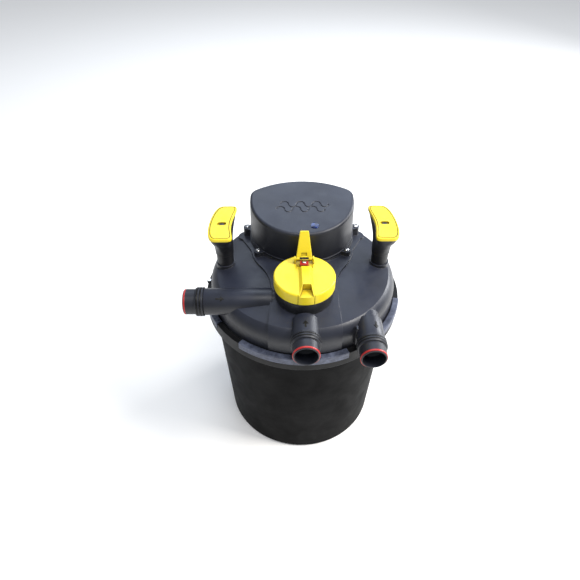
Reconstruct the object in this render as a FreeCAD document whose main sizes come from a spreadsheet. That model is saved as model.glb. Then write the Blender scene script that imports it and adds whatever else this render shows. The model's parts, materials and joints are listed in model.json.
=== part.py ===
"""Pressurised pond canister filter, modelled as its separate pieces.

Frame: millimetres, +Z up, origin at the centre of the tank's underside, front (the valve dial) at -Y.
"""
import FreeCAD, Part
import math
import os
import Sketcher

doc = FreeCAD.newDocument("CanisterFilter")
sheet = doc.addObject("Spreadsheet::Sheet", "Dims")

# Driving dimensions, in millimetres and degrees. Heights named *_z are measured from the floor.
DIMENSIONS = {
    # Tank and its flange
    "tank_foot_radius": 168.5, "tank_top_radius": 184.6, "tank_wall": 4, "tank_edge": 8,
    "flange_radius": 191, "flange_low_z": 328, "flange_top_z": 336, "seal_height": 2,
    # Clamp ring, its pads and its latch
    "ring_radius": 198.5, "ring_bore": 187, "ring_low_z": 322, "ring_top_z": 349, "ring_lip": 3,
    "ring_low_bore": 185.2, "pad_radius": 200, "pad_height": 4, "pad_skirt": 11,
    "latch_angle": 174, "latch_pin_at": 197.3, "latch_pin_radius": 2, "latch_knuckle": 3.7,
    "latch_low_z": 328.4, "latch_top_z": 345.6, "recess_radius": 193, "latch_reach": 32,
    "split_angle": 157, "split_width": 2,
    # Lid
    "dome_radius": 186, "dome_wall_z": 374, "shoulder_radius": 172, "shoulder_z": 404,
    "dome_top_z": 421, "lid_wall": 4, "lid_flange_top_z": 345.9, "saddle_step": 4,
    "plinth_top_z": 425.5, "gasket_height": 1.2,
    # Valve
    "valve_y": -94, "bowl_radius": 44, "bowl_rim_radius": 56, "bowl_low_z": 372, "bowl_rim_z": 441.4,
    "bowl_wall": 5, "cover_radius": 50, "cover_low_z": 435.4, "stem_radius": 8,
    "dial_radius": 56.4, "dial_low_z": 442, "dial_side_z": 461, "dial_edge_z": 464.5,
    "dial_edge_radius": 53, "dial_apex_z": 466.5, "dial_roof_z": 455,
    "bar_top_z": 471.2, "bar_base_width": 36, "bar_back_width": 17.5, "bar_front_width": 15.6,
    "crest_shift": 3.2, "scoop_back": 32, "running_gap": 0.1,
    # Lever on the dial
    "lever_y": -60, "lever_z": 475, "lever_length": 54, "lever_base": 30, "lever_tip": 15.6,
    "lever_thick": 5, "lever_lean": 14, "lever_pin_radius": 2, "slot_width": 30.8, "lug_radius": 4.3,
    "lug_thick": 2.8, "lock_width": 15.6, "lock_depth": 11.8, "lock_height": 7, "lock_ahead": 8.6,
    "nut_radius": 4.5, "nut_height": 3, "nut_ahead": 7, "slot_front": 17.5, "slot_depth": 23.3,
    # Hose ports
    "tube_radius": 21.5, "tube_bore": 18, "port_z": 399, "outlet_z": 382, "outlet_x": 118,
    "left_blend": 9, "front_blend": 5, "left_face_x": -188, "front_face_y": -193, "outlet_face_y": -186,
    "outlet_depth": 82,
    "spigot_radius": 24, "spigot_bore": 20.5, "spigot_length": 38, "rib_radius": 27.4,
    "plug_depth": 18, "plug_bore": 15.5, "mouth_ring_at": 33.4, "mouth_ring_height": 3.2,
    "lip_radius": 22.6,
    # Ultraviolet housing
    "housing_half": 107, "housing_front_y": -16, "housing_back_y": 152, "housing_front_top_z": 495,
    "housing_back_top_z": 515, "housing_corner": 26, "housing_side": 12, "housing_wall": 3,
    "housing_draft": 1.2, "housing_flange": 4, "housing_round": 6,
    "screw_front_x": 89, "screw_front_y": 20, "screw_rear_x": 115, "screw_rear_y": 102,
    "screw_head": 4.6, "screw_shank": 2, "screw_ear": 8.5, "web_reach": 14, "web_aim_y": 60,
    "flange_grow": 1.2, "plinth_grow": 2, "plinth_depth": 34, "lens_radius": 8.5, "lens_x": 22,
    "lens_y": 10, "ripple_radius": 8, "ripple_depth": 1.5, "ripple_from_front": 74, "ripple_gap": 15,
    "sleeve_y": 24, "sleeve_radius": 13, "sleeve_low_z": 150, "gland_radius": 9, "gland_bore": 4.5,
    "gland_z": 456,
    # Handles, rods and the press plate
    "handle_x": 155, "handle_y": 8, "post_radius": 16.6, "boss_radius": 18.8, "boss_top_z": 414,
    "grip_half": 55.5, "grip_width_half": 21, "grip_bend": 11.5, "grip_toe": 6.5, "grip_back": 5,
    "cap_low_z": 499.5, "cap_height": 6, "cap_round": 2.2, "well_length": 17, "well_width": 9.6,
    "well_floor": 2.2, "cap_screw_shank": 2.2,
    "rod_radius": 6, "rod_low_z": 16, "plate_low_z": 26, "plate_height": 6, "plate_radius": 160,
    # Foam, centre tube and top grid
    "foam_radius": 158, "foam_bore": 49, "foam_low_z": 32.3, "foam_height": 64.9,
    "tube_core_radius": 47, "tube_core_wall": 3.5, "grid_low_z": 292.2, "grid_height": 5,
    "grid_radius": 148, "grid_post_radius": 7, "grid_post_top_z": 407, "drain_radius": 8,
}


class Size:
    """A length that carries its number and the sheet formula that gives it."""

    def __init__(self, number, formula):
        self.number = number
        self.formula = formula

    def joined(self, other, sign, number):
        return Size(number, "(%s %s %s)" % (self.formula, sign, formula(other)))

    def __add__(self, other):
        return self.joined(other, "+", self.number + number(other))

    def __sub__(self, other):
        return self.joined(other, "-", self.number - number(other))

    def __mul__(self, other):
        return self.joined(other, "*", self.number * number(other))

    def __truediv__(self, other):
        return self.joined(other, "/", self.number / number(other))

    def __rsub__(self, other):
        return Size(number(other) - self.number, "(%s - %s)" % (formula(other), self.formula))

    def __neg__(self):
        return 0 - self

    __radd__ = __add__
    __rmul__ = __mul__


def number(size):
    return size.number if isinstance(size, Size) else size


def formula(size):
    return size.formula if isinstance(size, Size) else repr(size)


class Sheet:
    """The driving dimensions as attributes, such as d.ring_radius."""

    def __init__(self, dimensions):
        for row, (alias, value) in enumerate(dimensions.items(), start=1):
            sheet.set("A%d" % row, alias)
            sheet.set("B%d" % row, str(value))
            sheet.setAlias("B%d" % row, alias)
            setattr(self, alias, Size(value, "Dims." + alias))


d = Sheet(DIMENSIONS)
doc.recompute()

UP = FreeCAD.Vector(0, 0, 1)
LEFT = FreeCAD.Vector(-1, 0, 0)
RIGHT = FreeCAD.Vector(1, 0, 0)
FRONT = FreeCAD.Vector(0, -1, 0)
BACK = FreeCAD.Vector(0, 1, 0)
SIDES = (("left", -1), ("right", 1))
DOMED = "domed"
CAP_POWER = 0.38   # how square the handle caps' ends are


# ---------------------------------------------------------------- helpers

def bind(thing, **sizes):
    """Tie properties of an object to the sheet."""
    for name, size in sizes.items():
        setattr(thing, name, number(size))
        if isinstance(size, Size):
            thing.setExpression(name, size.formula)


def place(thing, at=(0, 0, 0), rotation=None):
    """Put an object at a point, with its base tied to the sheet."""
    turn = rotation or FreeCAD.Rotation()
    thing.Placement = FreeCAD.Placement(FreeCAD.Vector(*[number(part) for part in at]), turn)
    for letter, part in zip("xyz", at):
        if isinstance(part, Size):
            thing.setExpression("Placement.Base." + letter, part.formula)
    return thing


def facing(direction):
    return FreeCAD.Rotation(UP, direction)


def middle_about_axis(here, there):
    """The middle of the arc between two points whose centre is on the vertical axis."""
    centre = (here.x ** 2 + here.y ** 2 - there.x ** 2 - there.y ** 2) / (2 * (here.y - there.y))
    radius = math.hypot(here.x, here.y - centre)
    turn = (math.atan2(here.y - centre, here.x) + math.atan2(there.y - centre, there.x)) / 2
    return FreeCAD.Vector(radius * math.cos(turn), centre + radius * math.sin(turn), 0)


def outlined(body, plane_role, label, outline):
    """Sketch a closed outline of lines and arcs, each point held at its sheet size.

    A step is a point (x, y), or a pair for an arc: a point that it passes and the point where it
    ends. DOMED in place of the first point centres the arc on the vertical axis.
    """
    plane = next(item for item in body.Origin.OriginFeatures if item.Role == plane_role)
    sketch = body.newObject("Sketcher::SketchObject", label)
    sketch.AttachmentSupport = [(plane, "")]
    sketch.MapMode = "FlatFace"
    vector = lambda point: FreeCAD.Vector(number(point[0]), number(point[1]), 0)
    here = outline[0]
    ends = []
    for step in outline[1:] + [outline[0]]:
        is_arc = isinstance(step[0], tuple) or step[0] == DOMED
        there = step[1] if is_arc else step
        start, end = vector(here), vector(there)
        if start.isEqual(end, 1e-6):
            continue
        if not is_arc:
            edge = sketch.addGeometry(Part.LineSegment(start, end))
        elif step[0] == DOMED:
            edge = sketch.addGeometry(Part.Arc(start, middle_about_axis(start, end), end))
            sketch.addConstraint(Sketcher.Constraint("PointOnObject", edge, 3, -2))
        else:
            edge = sketch.addGeometry(Part.Arc(start, vector(step[0]), end))
            middle = sketch.addGeometry(Part.Point(vector(step[0])), True)
            sketch.addConstraint(Sketcher.Constraint("PointOnObject", middle, 1, edge))
            hold_point(sketch, (middle, 1), step[0])
        forward = sketch.getPoint(edge, 1).isEqual(start, 1e-4)
        first, last = (1, 2) if forward else (2, 1)
        hold_point(sketch, (edge, first), here)
        if ends:
            sketch.addConstraint(Sketcher.Constraint("Coincident", *ends[-1][1], edge, first))
        ends.append(((edge, first), (edge, last)))
        here = there
    sketch.addConstraint(Sketcher.Constraint("Coincident", *ends[-1][1], *ends[0][0]))
    return sketch


def hold_point(sketch, where, point):
    """Hold one sketch point at its x and y."""
    for kind, size in zip(("DistanceX", "DistanceY"), point):
        index = sketch.addConstraint(Sketcher.Constraint(kind, *where, number(size)))
        if isinstance(size, Size):
            sketch.setExpression("Constraints[%d]" % index, size.formula)


def revolved(label, outline, at=(0, 0, 0), direction=UP):
    """A body turned about its own axis from an outline of (radius, height)."""
    body = doc.addObject("PartDesign::Body", label)
    body.Label = label
    turn = body.newObject("PartDesign::Revolution", label + "_turn")
    turn.Profile = outlined(body, "XZ_Plane", label + "_profile", outline)
    turn.ReferenceAxis = (turn.Profile[0], ["V_Axis"])
    turn.Angle = 360
    return place(body, at, facing(direction))


def extruded(label, outline, low_z, height, taper=0):
    """A body pushed up from a plan outline."""
    body = doc.addObject("PartDesign::Body", label)
    body.Label = label
    pad = body.newObject("PartDesign::Pad", label + "_pad")
    pad.Profile = outlined(body, "XY_Plane", label + "_plan", outline)
    bind(pad, Length=height)
    if number(taper):
        bind(pad, TaperAngle=taper)
    return place(body, (0, 0, low_z))


def rod(label, radius, length, at, direction=UP):
    cylinder = doc.addObject("Part::Cylinder", label)
    bind(cylinder, Radius=radius, Height=length)
    return place(cylinder, at, facing(direction))


def block(label, width, depth, height, at):
    """A box centred in X and Y on the point that it stands on."""
    box = doc.addObject("Part::Box", label)
    bind(box, Length=width, Width=depth, Height=height)
    return place(box, (at[0] - width / 2, at[1] - depth / 2, at[2]))


def tube(label, outer, inner, length, at, direction=UP):
    """A plain ring or tube, turned from its wall's section."""
    wall = [(inner, 0), (outer, 0), (outer, length), (inner, length)]
    return revolved(label, wall, at, direction)


def fused(label, *pieces):
    whole = doc.addObject("Part::MultiFuse", label)
    whole.Shapes = list(pieces)
    whole.Label = label
    return whole


def cut(label, base, *tools):
    result = doc.addObject("Part::Cut", label)
    result.Base = base
    result.Tool = tools[0] if len(tools) == 1 else fused(label + "_tools", *tools)
    result.Label = label
    return result


def common(label, *pieces):
    whole = doc.addObject("Part::MultiCommon", label)
    whole.Shapes = list(pieces)
    whole.Label = label
    return whole


def group(label, *pieces):
    """Separate identical solids that share one node."""
    together = doc.addObject("Part::Compound", label)
    together.Links = list(pieces)
    together.Label = label
    return together


def softened(label, base, radius, wanted):
    """Round the edges that the test picks."""
    doc.recompute()
    fillet = doc.addObject("Part::Fillet", label)
    fillet.Base = base
    edges = enumerate(base.Shape.Edges, start=1)
    fillet.Edges = [(index, number(radius), number(radius)) for index, edge in edges if wanted(edge)]
    fillet.Label = label
    return fillet


def on_circle(radius, angle):
    """A point at a radius and an angle in degrees, as x and y."""
    turn = math.radians(number(angle))
    return (radius * round(math.cos(turn), 6), radius * round(math.sin(turn), 6))


def sector(label, radius, first_angle, last_angle, low_z, height):
    """A pie slice of a disc, used to keep or remove part of a ring."""
    slice_ = doc.addObject("Part::Cylinder", label)
    bind(slice_, Radius=radius, Height=height)
    slice_.Angle = last_angle - first_angle
    return place(slice_, (0, 0, low_z), FreeCAD.Rotation(UP, first_angle))


# ---------------------------------------------------------------- tank and clamp ring

def make_tank():
    """The tapered vessel, open at the top, with a flange that the clamp ring grips."""
    foot, top, wall, edge = d.tank_foot_radius, d.tank_top_radius, d.tank_wall, d.tank_edge
    return revolved("tank", [
        (0, 0), (foot - edge, 0), ((foot - edge * 0.28, edge * 0.28), (foot, edge)),
        (top, d.flange_low_z), (d.flange_radius, d.flange_low_z), (d.flange_radius, d.flange_top_z),
        (top - wall, d.flange_top_z), (foot - wall, edge + wall), (foot - edge - wall, wall + 1),
        (0, wall + 1)])


def make_tank_seal():
    return tube("tank_seal", d.tank_top_radius + 4, d.tank_top_radius - 3, d.seal_height,
                (0, 0, d.flange_top_z))


def latch_point():
    return on_circle(d.latch_pin_at, d.latch_angle)


def make_clamp_ring():
    """A C-section ring over both flanges, split once, with a recess and lugs for its latch."""
    outer, low, top = d.ring_radius, d.ring_low_z, d.ring_top_z
    groove = d.flange_radius + 0.3
    body = revolved("ring_section", [
        (d.ring_low_bore, low), (outer, low), (outer, top), (d.ring_bore, top),
        (d.ring_bore, top - d.ring_lip), (groove, top - d.ring_lip), (groove, d.flange_low_z),
        (d.ring_low_bore, d.flange_low_z)])
    first, last = d.latch_angle.number - 37, d.latch_angle.number + 3
    recess_height = top - d.ring_lip - d.flange_low_z
    recess = cut("latch_recess",
                 sector("recess_slice", outer + 4, first, last, d.flange_low_z, recess_height),
                 rod("recess_core", d.recess_radius, recess_height, (0, 0, d.flange_low_z)))
    x, y = latch_point()
    lugs = [rod("latch_lug_low", d.latch_knuckle + 1.2, d.flange_low_z - low, (x, y, low)),
            rod("latch_lug_top", d.latch_knuckle + 1.2, d.ring_lip + 1.5, (x, y, top - d.ring_lip))]
    split_x, split_y = on_circle(d.ring_radius, d.split_angle)
    split = block("ring_split", 30, d.split_width, 40, (split_x, split_y, low - 5))
    split.Placement.Rotation = FreeCAD.Rotation(UP, d.split_angle.number - 180)
    pin_hole = rod("latch_pin_hole", d.latch_pin_radius, 40, (x, y, low - 1))
    return cut("clamp_ring", fused("ring_with_lugs", cut("ring_open", body, recess), *lugs),
               split, pin_hole)


def make_ring_pads():
    """Raised grip pads around the clamp ring, with bare stretches between them."""
    top, rise = d.ring_top_z, d.pad_height
    section = revolved("pad_section", [
        (d.ring_bore + 0.6, top), (d.ring_radius, top), (d.ring_radius, top - d.pad_skirt),
        (d.pad_radius, top - d.pad_skirt), (d.pad_radius, top + rise * 0.6),
        ((d.pad_radius - 0.7, top + rise * 0.9), (d.pad_radius - 2, top + rise)),
        (d.ring_bore + 2, top + rise), (d.ring_bore + 0.6, top + rise * 0.7)])
    arcs = ((-128, -66), (-44, -12), (12, 62), (84, 132), (186, 212))
    return group("ring_pads", *[
        common("pad_%d" % index, section,
               sector("pad_slice_%d" % index, d.pad_radius + 5, first, last, top - 20, 40))
        for index, (first, last) in enumerate(arcs, start=1)])


def make_latch_lever():
    """The snap lever of the clamp ring: a curved strip on a vertical pin, with a finger tab."""
    low, height = d.latch_low_z, d.latch_top_z - d.latch_low_z
    inner, outer = d.recess_radius + 0.4, d.ring_radius + 0.8
    last = d.latch_angle.number - 1
    first = last - d.latch_reach.number
    strip = common("latch_strip", tube("latch_hoop", outer, inner, height, (0, 0, low)),
                   sector("latch_slice", outer + 3, first, last, low, height))
    tab = common("latch_tab", tube("tab_hoop", outer + 4, outer - 2, height, (0, 0, low)),
                 sector("tab_slice", outer + 9, first, first + 3, low, height))
    x, y = latch_point()
    knuckle = rod("latch_knuckle", d.latch_knuckle, height, (x, y, low))
    bore = rod("latch_bore", d.latch_pin_radius + 0.06, height + 4, (x, y, low - 2))
    return cut("latch_lever", fused("latch_blank", strip, tab, knuckle), bore)


def make_latch_pin():
    x, y = latch_point()
    head_z = d.ring_top_z + 1.5
    return fused("latch_pin", rod("latch_pin_shank", d.latch_pin_radius, head_z - d.ring_low_z,
                                  (x, y, d.ring_low_z)),
                 rod("latch_pin_head", d.latch_knuckle, 1.6, (x, y, head_z)))


# ---------------------------------------------------------------- lid

def dome(label, offset, low_z):
    """The dome's solid inside an outline moved out by an offset, standing on a level."""
    radius, shoulder = d.dome_radius + offset, d.shoulder_radius + offset * 0.62
    shoulder_z, top_z = d.shoulder_z + offset * 0.78, d.dome_top_z + offset
    bend = (d.dome_radius - 3.4 + offset * 0.93, d.dome_wall_z + 17.5 + offset * 0.38)
    return revolved(label, [
        (0, low_z), (radius, low_z), (radius, d.dome_wall_z), (bend, (shoulder, shoulder_z)),
        (DOMED, (0, top_z))])


def saddle_plan():
    """Plan of the raised saddle: wide round the housing, waisted beside the dial, down to the front."""
    right = [(68, -196), (63, -96), ((68, -48), (86, -14)), ((97, 8), (105, 38)), (126, 84),
             ((134, 106), (118, 116))]
    flip = lambda point: (-point[0], point[1])
    left = [(-118, 116), ((-134, 106), (-126, 84)), (-105, 38), ((-97, 8), (-86, -14)),
            ((-68, -48), (-63, -96)), flip(right[0])]
    return right + [((0, 173), left[0])] + left[1:]


def back_corner_turn():
    """The angle over which a back corner's arc runs before the shallow back arc takes over."""
    radius, across = d.housing_corner.number, d.housing_half.number - d.housing_corner.number
    short = (d.housing_front_y + d.housing_half + d.housing_side - d.housing_back_y).number
    back_radius = (radius ** 2 - across ** 2 - short ** 2) / (2 * (short + radius))
    return math.atan2(short + back_radius, across)


def housing_plan(grow):
    """The housing's D shape: a round front and a shallow arc at the back, grown by a margin."""
    half, front, back = d.housing_half + grow, d.housing_front_y - grow, d.housing_back_y + grow
    middle = d.housing_front_y + d.housing_half
    radius, x, y = d.housing_corner + grow, d.housing_half - d.housing_corner, middle + d.housing_side
    turn = back_corner_turn()
    on_corner = lambda part: (x + radius * math.cos(turn * part), y + radius * math.sin(turn * part))
    flip = lambda point: (-point[0], point[1])
    return [(-half, middle), ((0, front), (half, middle)), (half, y), (on_corner(0.5), on_corner(1)),
            ((0, back), flip(on_corner(1))), (flip(on_corner(0.5)), (-half, y))]


def screw_points():
    front, rear = (d.screw_front_x, d.screw_front_y), (d.screw_rear_x, d.screw_rear_y)
    return [(side * number(x), y) if side < 0 else (x, y) for x, y in (front, rear) for side in (-1, 1)]


def with_ears(label, plate, low_z, height):
    """A plate with a round ear for each screw and a web that ties the ear to the housing's foot."""
    ears = []
    for index, (x, y) in enumerate(screw_points(), start=1):
        ears.append(rod("%s_ear_%d" % (label, index), d.screw_ear, height, (x, y, low_z)))
        inward = math.degrees(math.atan2(d.web_aim_y.number - number(y), -number(x)))
        web = doc.addObject("Part::Box", "%s_web_%d" % (label, index))
        bind(web, Length=d.web_reach, Width=d.screw_ear * 2, Height=height)
        turn = FreeCAD.Rotation(UP, inward)
        side = turn.multVec(FreeCAD.Vector(0, -d.screw_ear.number, 0))
        ears.append(place(web, (x + side.x, y + side.y, low_z), turn))
    return fused(label, plate, *ears)


def bowl_outline():
    rim, radius = d.bowl_rim_radius, d.bowl_radius
    return [(0, d.bowl_low_z), (radius, d.bowl_low_z), (radius, d.bowl_low_z + 22),
            ((radius + 8.6, d.bowl_rim_z - 26), (rim, d.bowl_rim_z)), (0, d.bowl_rim_z)]


def blended_ports(ported):
    """The lid with soft blends where the left and front tubes run into the dome."""
    y, reach = d.valve_y.number, d.tube_radius.number + 1
    front_end = d.front_face_y.number + d.tube_radius.number - 3
    long_curve = lambda edge: edge.Length > 8 and isinstance(edge.Curve, Part.BSplineCurve)
    beside_left = lambda edge: (long_curve(edge) and edge.Length > 20 and edge.BoundBox.XMax < 1 and
                                abs(edge.BoundBox.Center.y - y) < reach and
                                edge.BoundBox.YLength < 2 * reach)
    beside_front = lambda edge: (long_curve(edge) and edge.Length > 60 and
                                 abs(edge.BoundBox.Center.x) < reach and
                                 edge.BoundBox.XLength < reach and edge.BoundBox.YMin > front_end)
    left = softened("left_blend", ported, d.left_blend, beside_left)
    return softened("front_blend", left, d.front_blend, beside_front)


def make_lid():
    """The domed lid with its saddle, plinth, handle bosses and three port sockets."""
    flange_low = d.flange_top_z + d.seal_height
    flange = rod("lid_flange", d.flange_radius, d.lid_flange_top_z - flange_low, (0, 0, flange_low))
    saddle_low = d.ring_top_z + d.pad_height + 4
    saddle = common("lid_saddle", dome("saddle_skin", d.saddle_step, saddle_low),
                    extruded("saddle_block", saddle_plan(), saddle_low, 100))
    plinth_low = d.plinth_top_z - d.plinth_depth
    plinth_block = extruded("plinth_block", housing_plan(d.plinth_grow), plinth_low, d.plinth_depth)
    plinth = with_ears("lid_plinth", plinth_block, plinth_low, d.plinth_depth)
    valve = (0, d.valve_y, d.port_z)
    left_tube = rod("left_socket", d.tube_radius, -d.left_face_x, valve, LEFT)
    front_tube = rod("front_socket", d.tube_radius, d.valve_y - d.front_face_y, valve, FRONT)
    outlet = (d.outlet_x, d.outlet_face_y + d.outlet_depth, d.outlet_z)
    outlet_tube = rod("outlet_socket", d.tube_radius, d.outlet_depth, outlet, FRONT)
    rib = block("lid_rib", 3, 9, 42, (94, -163, saddle_low))
    bosses = [rod("%s_boss" % side, d.boss_radius, 22, (d.handle_x * sign, d.handle_y, d.boss_top_z - 22))
              for side, sign in SIDES]
    crown = fused("lid_crown", flange, dome("lid_dome", 0, flange_low), saddle, plinth)
    ported = fused("lid_ported", crown, left_tube, front_tube, outlet_tube, rib)
    outside = fused("lid_outside", blended_ports(ported), *bosses)
    inside = cut("lid_inside", dome("lid_cavity", -d.lid_wall, flange_low - 1),
                 *[rod("%s_boss_keep" % side, d.boss_radius - 4, 30,
                       (d.handle_x * sign, d.handle_y, d.boss_top_z - 22)) for side, sign in SIDES])
    bowl_seat = revolved("bowl_seat", bowl_outline(), (0, d.valve_y, 0))
    bores = [rod("left_bore", d.tube_bore, 170, valve, LEFT),
             rod("front_bore", d.tube_bore, 120, valve, FRONT),
             rod("outlet_bore", d.tube_bore, 100, (d.outlet_x, d.outlet_face_y + 90, d.outlet_z), FRONT),
             rod("sleeve_hole", d.sleeve_radius + 7, 60, (0, d.sleeve_y, d.plinth_top_z - 50))]
    bores[0].setExpression("Height", (-d.left_face_x + 5).formula)
    bush_holes = [rod("%s_bush_hole" % side, d.rod_radius + 4, 40,
                      (d.handle_x * sign, d.handle_y, d.boss_top_z - 35)) for side, sign in SIDES]
    screw_holes = [rod("lid_screw_hole_%d" % index, d.screw_shank, 14, (x, y, d.plinth_top_z - 12))
                   for index, (x, y) in enumerate(screw_points(), start=1)]
    shell = cut("lid_shell", outside, inside)
    return cut("lid", shell, bowl_seat, *bores, *bush_holes, *screw_holes)


# ---------------------------------------------------------------- valve

def make_valve_bowl():
    """The valve's fixed body: a bowl with windows to the left and front ports and a hole below."""
    y = d.valve_y
    solid = revolved("bowl_solid", bowl_outline(), (0, y, 0))
    cavity = rod("bowl_cavity", d.bowl_radius - d.bowl_wall, 70, (0, y, d.bowl_low_z + 4))
    recess = rod("cover_recess", d.cover_radius, 20, (0, y, d.cover_low_z))
    windows = [rod("bowl_window_left", d.tube_bore - 1, 70, (0, y, d.port_z), LEFT),
               rod("bowl_window_front", d.tube_bore - 1, 70, (0, y, d.port_z), FRONT),
               rod("bowl_window_low", 20, 20, (0, y, d.bowl_low_z - 8))]
    return cut("valve_bowl", solid, cavity, recess, *windows)


def make_valve_cover():
    """The plate that closes the bowl, with a hole for the stem and a seat for its seal."""
    seal_seat = rod("stem_seal_seat", d.stem_radius + 3, 3, (0, d.valve_y, d.bowl_rim_z - 3))
    plate = tube("cover_plate", d.cover_radius, d.stem_radius + d.running_gap, d.bowl_rim_z - d.cover_low_z,
                 (0, d.valve_y, d.cover_low_z))
    return cut("valve_cover", plate, seal_seat)


def make_stem_seal():
    return tube("stem_seal", d.stem_radius + 3, d.stem_radius + d.running_gap, 2.8,
                (0, d.valve_y, d.bowl_rim_z - 3))


def make_valve_rotor():
    """The turning drum, open below, with two windows that meet the ports at rest."""
    outer, y = d.bowl_radius - d.bowl_wall - d.running_gap, d.valve_y
    low, top = d.bowl_low_z + 4.3, d.cover_low_z - 0.3
    drum = rod("rotor_drum", outer, top - low, (0, y, low))
    hollow = rod("rotor_hollow", outer - 4, top - low - 4, (0, y, low))
    windows = [rod("rotor_window_left", d.tube_bore - 1, 60, (0, y, d.port_z), LEFT),
               rod("rotor_window_front", d.tube_bore - 1, 60, (0, y, d.port_z), FRONT)]
    return cut("valve_rotor", drum, hollow, *windows)


def make_valve_stem():
    low = d.cover_low_z - 0.3
    return rod("valve_stem", d.stem_radius, d.dial_roof_z + 3 - low, (0, d.valve_y, low))


def upright_section(label, y, base, crest, low, top, base_shift, crest_shift):
    """One upright trapezoid across the bar or the scoop, each end shifted to the right."""
    corners = [(base_shift - base / 2, low), (base_shift + base / 2, low),
               (crest_shift + crest / 2, top), (crest_shift - crest / 2, top)]
    points = [FreeCAD.Vector(x, y, z) for x, z in corners]
    section = doc.addObject("Part::Feature", label)
    section.Shape = Part.makePolygon(points + points[:1])
    return section


def lofted(label, sections):
    loft = doc.addObject("Part::Loft", label)
    loft.Sections = sections
    loft.Solid = True
    loft.Ruled = True
    return loft


def bar_solid():
    """The dial's raised bar: its crest off centre, narrowing and then dipping to the rim."""
    y, top, rim = d.valve_y.number, d.bar_top_z.number, d.dial_edge_z.number - 0.4
    base, back, front = d.bar_base_width.number, d.bar_back_width.number, d.bar_front_width.number
    low, shift = d.dial_side_z.number - 2, d.crest_shift.number
    return lofted("dial_bar", [
        upright_section("bar_back", y + 46, base, back + 4, low, top, 0, shift / 2),
        upright_section("bar_middle", y + 20, base, back, low, top, 0, shift),
        upright_section("bar_front", y - d.scoop_back.number, base - 2, front, low, top, 0, shift),
        upright_section("bar_nose", y - 53, base - 7, base - 11, low, rim, 0, shift / 2)])


def scoop_solid():
    """The finger scoop in the bar's nose: deep behind, running out at the rim."""
    y, floor, shift = d.valve_y.number, d.dial_roof_z.number + 3.2, d.crest_shift.number
    return lofted("finger_scoop", [
        upright_section("scoop_back", y - d.scoop_back.number, 14, 15, floor, floor + 30, shift, shift),
        upright_section("scoop_front", y - 60, 26.5, 27.5, floor + 3.5, floor + 30, shift / 2,
                        shift / 2)])


def make_valve_dial():
    """The yellow dial: a shallow cap with a bar across it, a finger scoop and the lever's slot."""
    y, radius, edge = d.valve_y, d.dial_radius, d.dial_edge_z
    cap = revolved("dial_cap", [
        (0, d.dial_low_z), (radius - 0.6, d.dial_low_z), (radius, d.dial_low_z + 1),
        (radius, d.dial_side_z), ((radius - 1.1, edge - 1), (d.dial_edge_radius, edge)),
        (0, d.dial_apex_z)], (0, y, 0))
    under = tube("dial_under", radius - 3.5, d.stem_radius + 5, d.dial_roof_z - d.dial_low_z,
                 (0, y, d.dial_low_z - 0.1))
    stem_hole = rod("dial_stem_hole", d.stem_radius, d.dial_roof_z + 3 - d.dial_low_z,
                    (0, y, d.dial_low_z))
    slot = block("lever_slot", d.slot_width, d.slot_depth, 30,
                 (0, d.lever_y - d.slot_front + d.slot_depth / 2, edge))
    back_step = block("lever_back_step", 60, 30, 30, (0, d.lever_y + 20.5, d.dial_apex_z - 0.6))
    rim_lines = [block("rim_line_%s" % side, 0.9, 3, 26,
                       (d.crest_shift / 2 + sign * 14.6, y - radius + 2.2, d.dial_low_z - 1))
                 for side, sign in SIDES]
    half, thick = d.slot_width / 2, d.lug_thick
    lugs = [rod("%s_lug" % side, d.lug_radius, thick, (half if sign > 0 else -half - thick, d.lever_y,
                                                       d.lever_z), RIGHT) for side, sign in SIDES]
    feet = [block("%s_lug_foot" % side, thick, d.lug_radius * 2, d.lever_z - edge + 1,
                  (sign * (half + thick / 2), d.lever_y, edge - 1)) for side, sign in SIDES]
    pin_hole = rod("dial_pin_hole", d.lever_pin_radius, 50, (-25, d.lever_y, d.lever_z), RIGHT)
    topped = cut("dial_topped", fused("dial_blank", cap, bar_solid()), slot, back_step)
    return cut("valve_dial", fused("dial_with_lugs", topped, *lugs, *feet), under, stem_hole,
               scoop_solid(), pin_hole, *rim_lines)


def make_lever_pin():
    length = d.slot_width + d.lug_thick * 2
    return rod("lever_pin", d.lever_pin_radius, length, (-length / 2, d.lever_y, d.lever_z), RIGHT)


def lever_section(label, half_width, half_depth, height):
    section = doc.addObject("Part::Feature", label)
    corners = [(-half_width, -half_depth), (half_width, -half_depth), (half_width, half_depth),
               (-half_width, half_depth)]
    points = [FreeCAD.Vector(x, y, height) for x, y in corners]
    section.Shape = Part.makePolygon(points + points[:1])
    return section


def make_dial_lever():
    """The tongue that stands up from the dial: a tapered blade forked round the lock piece."""
    base, tip, half = number(d.lever_base) / 2, number(d.lever_tip) / 2, number(d.lever_thick) / 2
    sections = [lever_section("lever_foot", base, half, 0),
                lever_section("lever_end", tip, half * 0.8, number(d.lever_length))]
    blade = lofted("lever_blade", sections)
    knuckle = rod("lever_knuckle", 3.7, d.lever_base, (-d.lever_base / 2, 0, 0), RIGHT)
    fork = block("lever_fork", d.lock_width + 1.4, 20, 10.5, (0, 0, -6))
    pocket = block("nut_pocket", d.nut_radius * 2 + 1.2, 2.8, 8, (0, -half + 1.4, 4.4))
    bore = rod("lever_bore", d.lever_pin_radius + 0.06, 50, (-25, 0, 0), RIGHT)
    blank = fused("lever_blank", blade, knuckle)
    rounded = softened("lever_rounded", blank, 1.2, lambda edge: edge.BoundBox.ZMax > 20)
    lever = cut("dial_lever", rounded, fork, pocket, bore)
    lean = FreeCAD.Rotation(RIGHT, -number(d.lever_lean))
    return place(lever, (0, d.lever_y, d.lever_z), lean)


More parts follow.
